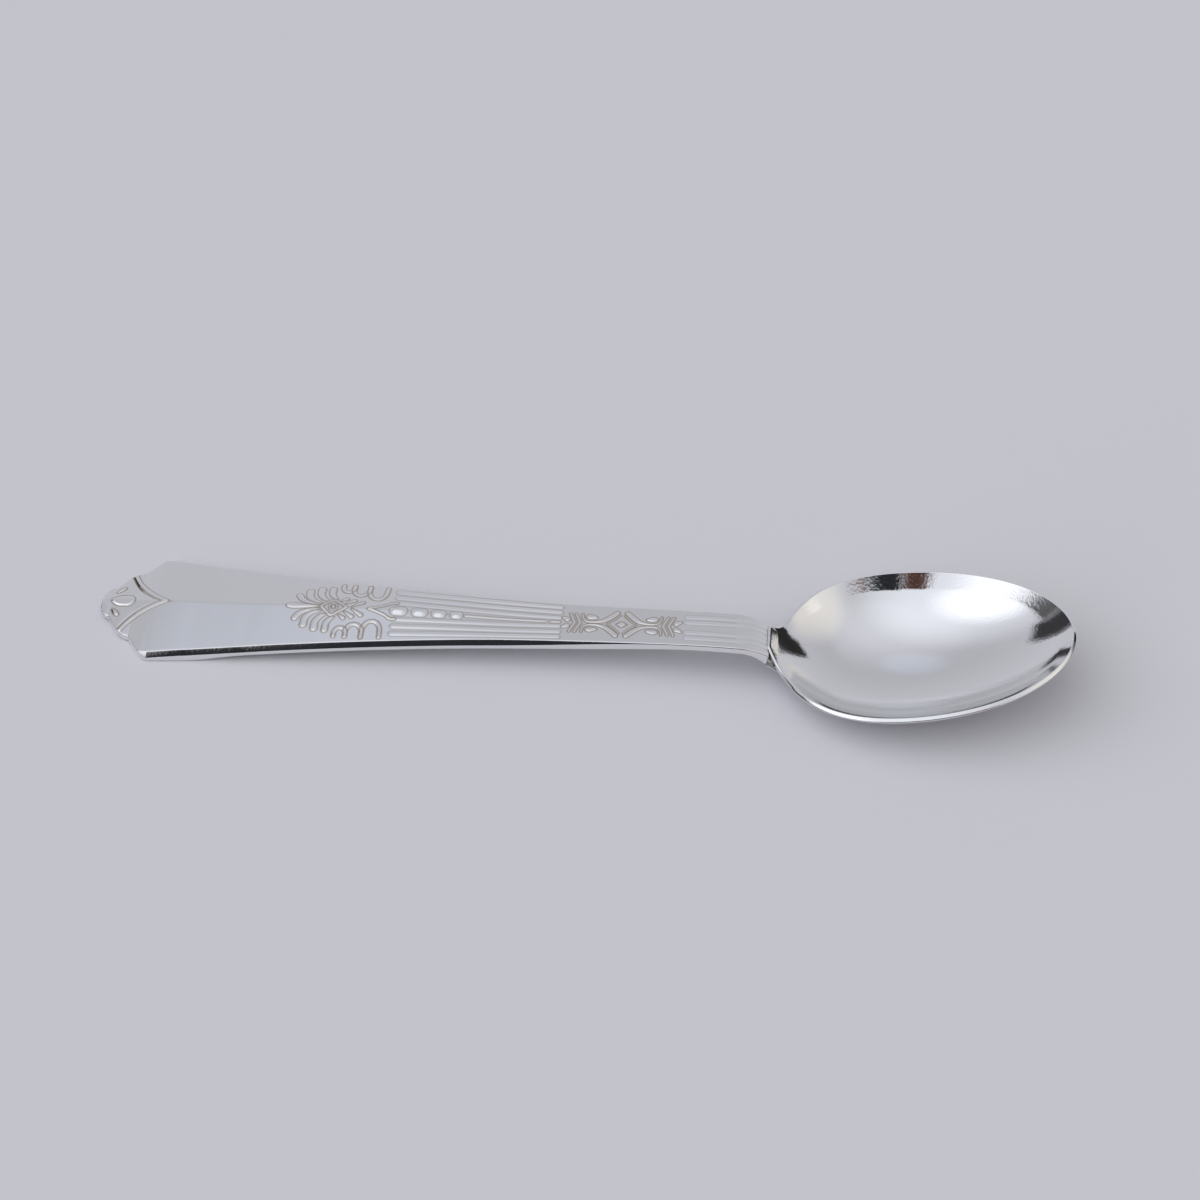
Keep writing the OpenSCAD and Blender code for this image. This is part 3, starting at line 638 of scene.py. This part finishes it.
# Stations along the handle in mm from its end: on the round tongue closer towards its tip, and after it
# evenly (from, to, spacing), close together where there is ornament.
tongueEnd, tongueStations = 1.6, 14
spans = [(tongueEnd, 10, 0.09), (10, 26.5, 0.6), (26.5, 43, 0.1), (43, 53.5, 0.12), (53.5, 66.5, 0.3),
         (66.5, 85.5, 0.1), (85.5, handleLength, 0.35)]


def strapStations():
    tongue = tongueEnd * (np.arange(tongueStations) / tongueStations) ** 2
    parts = [np.linspace(a, b, round((b - a) / spacing), endpoint=False) for a, b, spacing in spans]
    return np.concatenate([tongue, *parts])


# The handle: outlines along it, the bend with its shoulder, and the tang, closer towards its end.
def buildHandle(tangRows=22):
    along, crevice = handleLoops(strapStations())
    under = tangLoops(lerp(tangStart, tangEnd, np.sin(np.linspace(0, math.pi / 2, tangRows))))
    loops = np.concatenate([along, shoulderLoops(), under])
    points = sweptPoints(loops)
    recess = np.zeros(len(points))
    recess[:crevice.size] = crevice.ravel()
    makePiece("struckHandle", points, sweptFaces(*loops.shape[:2]), "handle", plate, recess)


# Rim in plan: the far side from heel to tip, the near side back, its round corner, then across the heel.
def rimOutline(side=200, across=10):
    x = heelX + (tipX - heelX) * (1 - np.cos(np.linspace(0, math.pi, side))) / 2
    y = rimHalf(x)
    y[-1] = 0
    near = np.stack([x, -y], -1)[-2::-1]
    near = near[near[:, 0] > heelX + bowl["cornerRun"] + probe]
    heelY = np.linspace(bowl["cornerEnd"], y[0], across)[1:-1]
    heel = np.stack([np.full_like(heelY, heelX), heelY], -1)
    return np.concatenate([np.stack([x, y], -1), near, cornerLine(), heel])


# The bowl: rings that shrink from the rim to the lowest point, inside and out, joined by a rounded lip.
def buildBowl(rings=56, lipPoints=8):
    low = np.array([lowX, 0.0])
    rim = rimOutline()
    beside = step(rim[:, 0], heelX, heelX + bowl["heelFlare"])
    backRim = rim + np.stack([heelCut * (1 - beside), np.zeros(len(rim))], -1)

    # One face of the sheet: the outline, drawn in by even steps towards the lowest point.
    def shell(outline, depth):
        reach = np.linalg.norm(outline - low, axis=1)
        share = np.linspace(1, 0, rings, endpoint=False)[:, None] * (1 - bowl["lipReach"] / reach)
        rays = low + share[..., None] * (outline - low)
        return behind(rays[..., 0], rays[..., 1], depth)

    inner, outer = shell(rim, 0), shell(backRim, bowl["sheet"])
    edge, backEdge = behind(*rim.T, 0), behind(*backRim.T, bowl["sheet"])
    along = step(rim[:, 0], heelX, heelX + bowl["lipRun"])
    top, bottom = (lerp(a, b, along)[:, None] for a, b in zip(bowl["heelRadii"], bowl["lipRadii"]))
    lip = np.concatenate([roundCorner(edge, inner[0], backEdge, top, lipPoints, bowl["lipShare"]),
                          roundCorner(backEdge, edge, outer[0], bottom, lipPoints, bowl["lipShare"])], axis=1)
    loops = np.concatenate([inner[::-1], lip.transpose(1, 0, 2), outer])
    poles = [behind(*low, depth)[None] for depth in (0, bowl["sheet"])]
    points = np.concatenate([loops.reshape(-1, 3), *poles])
    makePiece("pressedBowl", points, sweptFaces(*loops.shape[:2]), "bowl", plate,
              np.zeros(len(points)))


# Half-width of the film: the tang's, and part of the fillet beside it.
def filmHalf(x):
    return tangHalf(x) + solder["clearance"] + solder["fillet"] * solder["lapShare"]


# The film between tang and bowl, after a wedge under the heel that lies between the bend and the bowl's back.
def filmLoops(wedgeRows=8, filmRows=24, columns=13):
    across = np.linspace(1, -1, columns)
    t = np.linspace(0, 1, wedgeRows, endpoint=False)
    bend = bendLoops(lerp(np.interp(heelX, bendX, bendTries), 1, t))[:, faceMiddle]
    half = lerp(bowl["heelWidth"] / 2 - solder["clearance"], filmHalf(tangStart), t)[:, None] * across
    floorX, floorZ = (np.broadcast_to(v[:, None], half.shape) for v in (bend[:, 0], bend[:, 2]))
    wedgeLow = np.stack([floorX, half, floorZ + 2 * solder["clearance"]], -1)
    wedgeHigh = behind(lerp(heelX + heelCut + solder["clearance"], tangStart, t)[:, None], half, solderBack)
    x = np.linspace(tangStart, tangEnd, filmRows)[:, None]
    y = filmHalf(x) * across
    lower = np.concatenate([wedgeLow, behind(x, y, tangSeat - solder["clearance"])])
    upper = np.concatenate([wedgeHigh, behind(x, y, solderBack)])
    return np.concatenate([lower, upper[:, ::-1]], axis=1)


# The fillet down one side of the tang: a hollow curve from its edge out to the bowl, with lumps in its width.
def filletLoops(sign, rows=60, columns=7):
    x = np.linspace(tangStart, tangEnd, rows)
    lump = 1 + sum(share * np.sin(x * rate + start) for share, rate, start in solder["lumps"])
    turn = np.linspace(0, 1, columns)
    inner = tangHalf(x) + solder["clearance"]
    drop = lerp(tangSeat, tangDepth(x), solder["dropShare"])
    y = inner[:, None] + solder["fillet"] * solder["spreadShare"] * lump[:, None] * turn
    depth = solderBack + (drop - solderBack)[:, None] * (1 - turn) ** 2
    side = behind(x[:, None], sign * y, depth)
    corner = behind(x, sign * inner, solderBack)[:, None]
    return np.concatenate([side, corner], axis=1)[:, ::-sign]  # the same way round on both sides


# The solder: the film with its wedge, and a fillet on each side.
def buildSolder():
    points, faces, count = [], [], 0
    for loops in (filmLoops(), filletLoops(1), filletLoops(-1)):
        points.append(sweptPoints(loops))
        faces += [f + count for f in sweptFaces(*loops.shape[:2])]
        count += len(points[-1])
    makePiece("solderSeam", np.concatenate(points), faces, "solder_seam", solderSkin)


buildHandle()
buildBowl()
buildSolder()
print("pieces made")

# Camera at the photograph's angle: it looks at a point beside the spoon's middle, and is turned a little
# about its own axis. Lens and sensor are in mm, and the clip distances in metres.
view = {"target": (2.128, 11.039, 0.0), "distance": 342.6, "elevation": 45.173, "yaw": 2.633, "roll": 3.539,
        "lens": 69.0, "sensor": 36.0, "clip": (0.01, 20.0)}


def placeCamera():
    e, yaw, roll = (math.radians(view[k]) for k in ("elevation", "yaw", "roll"))
    right = np.array([math.cos(yaw), math.sin(yaw), 0])
    ahead = np.array([-math.sin(yaw) * math.cos(e), math.cos(yaw) * math.cos(e), -math.sin(e)])
    up = np.cross(right, ahead)
    spot = (np.array(view["target"]) - ahead * view["distance"]) * mm
    right, up = right * math.cos(roll) + up * math.sin(roll), up * math.cos(roll) - right * math.sin(roll)
    matrix = np.eye(4)
    matrix[:3] = np.stack([right, up, -ahead, spot], -1)
    data = bpy.data.cameras.new("photoCamera")
    data.lens, data.sensor_width = view["lens"], view["sensor"]
    data.clip_start, data.clip_end = view["clip"]
    camera = bpy.data.objects.new("photoCamera", data)
    bpy.context.scene.collection.objects.link(camera)
    camera.matrix_world = Matrix(matrix.tolist())
    bpy.context.scene.camera = camera


# Floor: plain matt paper, its size in metres.
paper = {"colour": "c6c6ce", "size": 6.0}


def layFloor():
    half = paper["size"] / 2
    corners = [(-half, -half, 0), (half, -half, 0), (half, half, 0), (-half, half, 0)]
    mesh = bpy.data.meshes.new("paperFloor")
    mesh.from_pydata(corners, [], [(0, 1, 2, 3)])
    floor = bpy.data.objects.new("paperFloor", mesh)
    bpy.context.scene.collection.objects.link(floor)
    material, tree = newMaterial("mattPaper")
    shader = addNode(tree, "ShaderNodeBsdfDiffuse", Color=linear(paper["colour"]))
    addNode(tree, "ShaderNodeOutputMaterial", Surface=shader)
    mesh.materials.append(material)


# Studio: pale paper behind the spoon and above, a large soft window light on the handle's side, a small
# warm one on the tip's side, and dark gaps between them. Directions are turns from straight behind the
# spoon, positive to its tip's side, and heights, in degrees.
# paperLevels are (sine of the height, level). The sweep of paper is (left, right, softness), and the
# ceiling takes over between two heights. The fill and the lights are (turn, height, angle from the middle
# where the glow ends, angle where it is whole), and a light also has its colour. Gaps are (left, right,
# bottom, top, softness, colour).
studio = {
    "paperLevels": ((0.0, 1.0), (0.17, 1.03), (0.5, 0.94), (0.71, 0.87), (0.8, 0.87), (0.87, 0.94),
                    (0.94, 1.0), (1.0, 1.08)),
    "sweep": (-55.0, 43.5, 1.0), "ceiling": (20.0, 28.0), "dim": "7a7a80",
    "fill": (-134.0, 38.0, 70.0, 10.0), "fillLevels": (0.35, 2.03),
    "lights": (
        (165.0, 64.0, 56.0, 5.0, (0.1, 0.11, 0.11)),
        (-130.0, 42.0, 52.0, 6.0, (0.28, 0.3, 0.33)),
        (-122.0, 36.0, 27.0, 8.0, (0.4, 0.4, 0.4)),
        (102.0, 34.0, 40.0, 6.0, (0.27, 0.24, 0.17)),
        (103.0, 33.0, 14.0, 4.0, (0.2, 0.19, 0.17)),
        (-22.0, 59.0, 14.0, 4.0, (0.05, 0.075, 0.1)),
    ),
    "gaps": (
        (44.0, 57.0, -20.0, 29.5, 1.5, "282828"),
        (60.0, 80.0, -20.0, 18.0, 4.0, "5a5856"),
        (-128.0, -82.0, -20.0, 22.5, 2.0, "5a5a5c"),
        (-77.5, -58.5, -20.0, 28.0, 3.0, "3a3a3d"),
        (150.0, 168.0, -20.0, 42.0, 2.0, "643c33"),
        (166.0, 190.0, -20.0, 41.0, 2.0, "282a2e"),
        (190.0, 201.0, -20.0, 37.0, 2.5, "4e3630"),
    ),
}


def hangLights():
    world = bpy.data.worlds.new("studio")
    bpy.context.scene.world = world
    world.use_nodes = True
    tree = world.node_tree
    tree.nodes.clear()
    times, larger = {"operation": "MULTIPLY"}, {"operation": "MAXIMUM"}
    smooth = {"interpolation_type": "SMOOTHSTEP"}
    mixed, added = {"data_type": "RGBA"}, {"data_type": "RGBA", "blend_type": "ADD"}
    degrees, fullTurn = 180 / math.pi, 360.0

    toward = addNode(tree, "ShaderNodeTexCoord").outputs["Generated"]
    parts = addNode(tree, "ShaderNodeSeparateXYZ", Vector=toward).outputs
    ray = addNode(tree, "ShaderNodeLightPath").outputs
    angle = addNode(tree, "ShaderNodeMath", {"operation": "ARCTAN2"}, i0=parts[0], i1=parts[1])
    turn = addNode(tree, "ShaderNodeMath", times, i0=angle, i1=degrees)
    raised = addNode(tree, "ShaderNodeMath", {"operation": "ADD"}, i0=turn, i1=fullTurn)
    onward = addNode(tree, "ShaderNodeMath", {"operation": "MODULO"}, i0=raised, i1=fullTurn)
    climb = addNode(tree, "ShaderNodeMath", {"operation": "ARCSINE"}, i0=parts[2])
    height = addNode(tree, "ShaderNodeMath", times, i0=climb, i1=degrees)

    # A soft round glow about a direction.
    def glow(az, el, outer, inner):
        a, e, far, near = (math.radians(value) for value in (az, el, outer, inner))
        axis = (math.sin(a) * math.cos(e), math.cos(a) * math.cos(e), math.sin(e))
        facing = addNode(tree, "ShaderNodeVectorMath", {"operation": "DOT_PRODUCT"}, i0=toward, i1=axis)
        return addNode(tree, "ShaderNodeMapRange", smooth, Value=facing.outputs["Value"],
                       From_Min=math.cos(far), From_Max=math.cos(near))

    # Whole between two angles, with soft limits.
    def band(value, low, high, soft):
        rise = addNode(tree, "ShaderNodeMapRange", smooth, Value=value, From_Min=low - soft,
                       From_Max=low + soft)
        fall = addNode(tree, "ShaderNodeMapRange", smooth, Value=value, From_Min=high + soft,
                       From_Max=high - soft)
        return addNode(tree, "ShaderNodeMath", times, i0=rise, i1=fall)

    paperColour = linear(paper["colour"])
    levels = addNode(tree, "ShaderNodeValToRGB", Fac=parts[2])
    stops = levels.color_ramp.elements
    for i, (at, level) in enumerate(studio["paperLevels"]):
        stop = stops[i] if i < len(stops) else stops.new(at)
        stop.position = at
        stop.color = [level * c for c in paperColour[:3]] + [1]
    low, high = studio["ceiling"]
    ceiling = addNode(tree, "ShaderNodeMapRange", smooth, Value=height, From_Min=low, From_Max=high)
    lit = addNode(tree, "ShaderNodeMath", larger, i0=band(turn, *studio["sweep"]), i1=ceiling)
    pale = addNode(tree, "ShaderNodeMix", mixed, i0=lit, i6=linear(studio["dim"]), i7=levels).outputs[2]
    # Metal shows the pale paper; what is lit by it takes the plain fill.
    least, most = ((level, level, level, 1) for level in studio["fillLevels"])
    fill = addNode(tree, "ShaderNodeMix", mixed, i0=glow(*studio["fill"]), i6=least, i7=most).outputs[2]
    shown = addNode(tree, "ShaderNodeMath", larger, i0=ray["Is Glossy Ray"], i1=ray["Is Transmission Ray"])
    room = addNode(tree, "ShaderNodeMix", mixed, i0=shown, i6=fill, i7=pale).outputs[2]
    for *place, tint in studio["lights"]:
        room = addNode(tree, "ShaderNodeMix", added, i0=glow(*place), i6=room, i7=(*tint, 1)).outputs[2]
    for left, right, bottom, top, soft, colour in studio["gaps"]:
        # A gap that passes half a turn is counted onward from 0 to a full turn.
        beside = band(turn if right < fullTurn / 2 else onward, left, right, soft)
        gap = addNode(tree, "ShaderNodeMath", times, i0=beside, i1=band(height, bottom, top, soft))
        room = addNode(tree, "ShaderNodeMix", mixed, i0=gap, i6=room, i7=linear(colour)).outputs[2]
    seen = addNode(tree, "ShaderNodeMix", mixed, i0=ray["Is Camera Ray"], i6=room, i7=paperColour).outputs[2]
    sky = addNode(tree, "ShaderNodeBackground", Color=seen, Strength=1.0)
    addNode(tree, "ShaderNodeOutputWorld", Surface=sky)


placeCamera()
layFloor()
hangLights()
bpy.context.scene.view_settings.view_transform = "Standard"
print("camera, floor and light made")
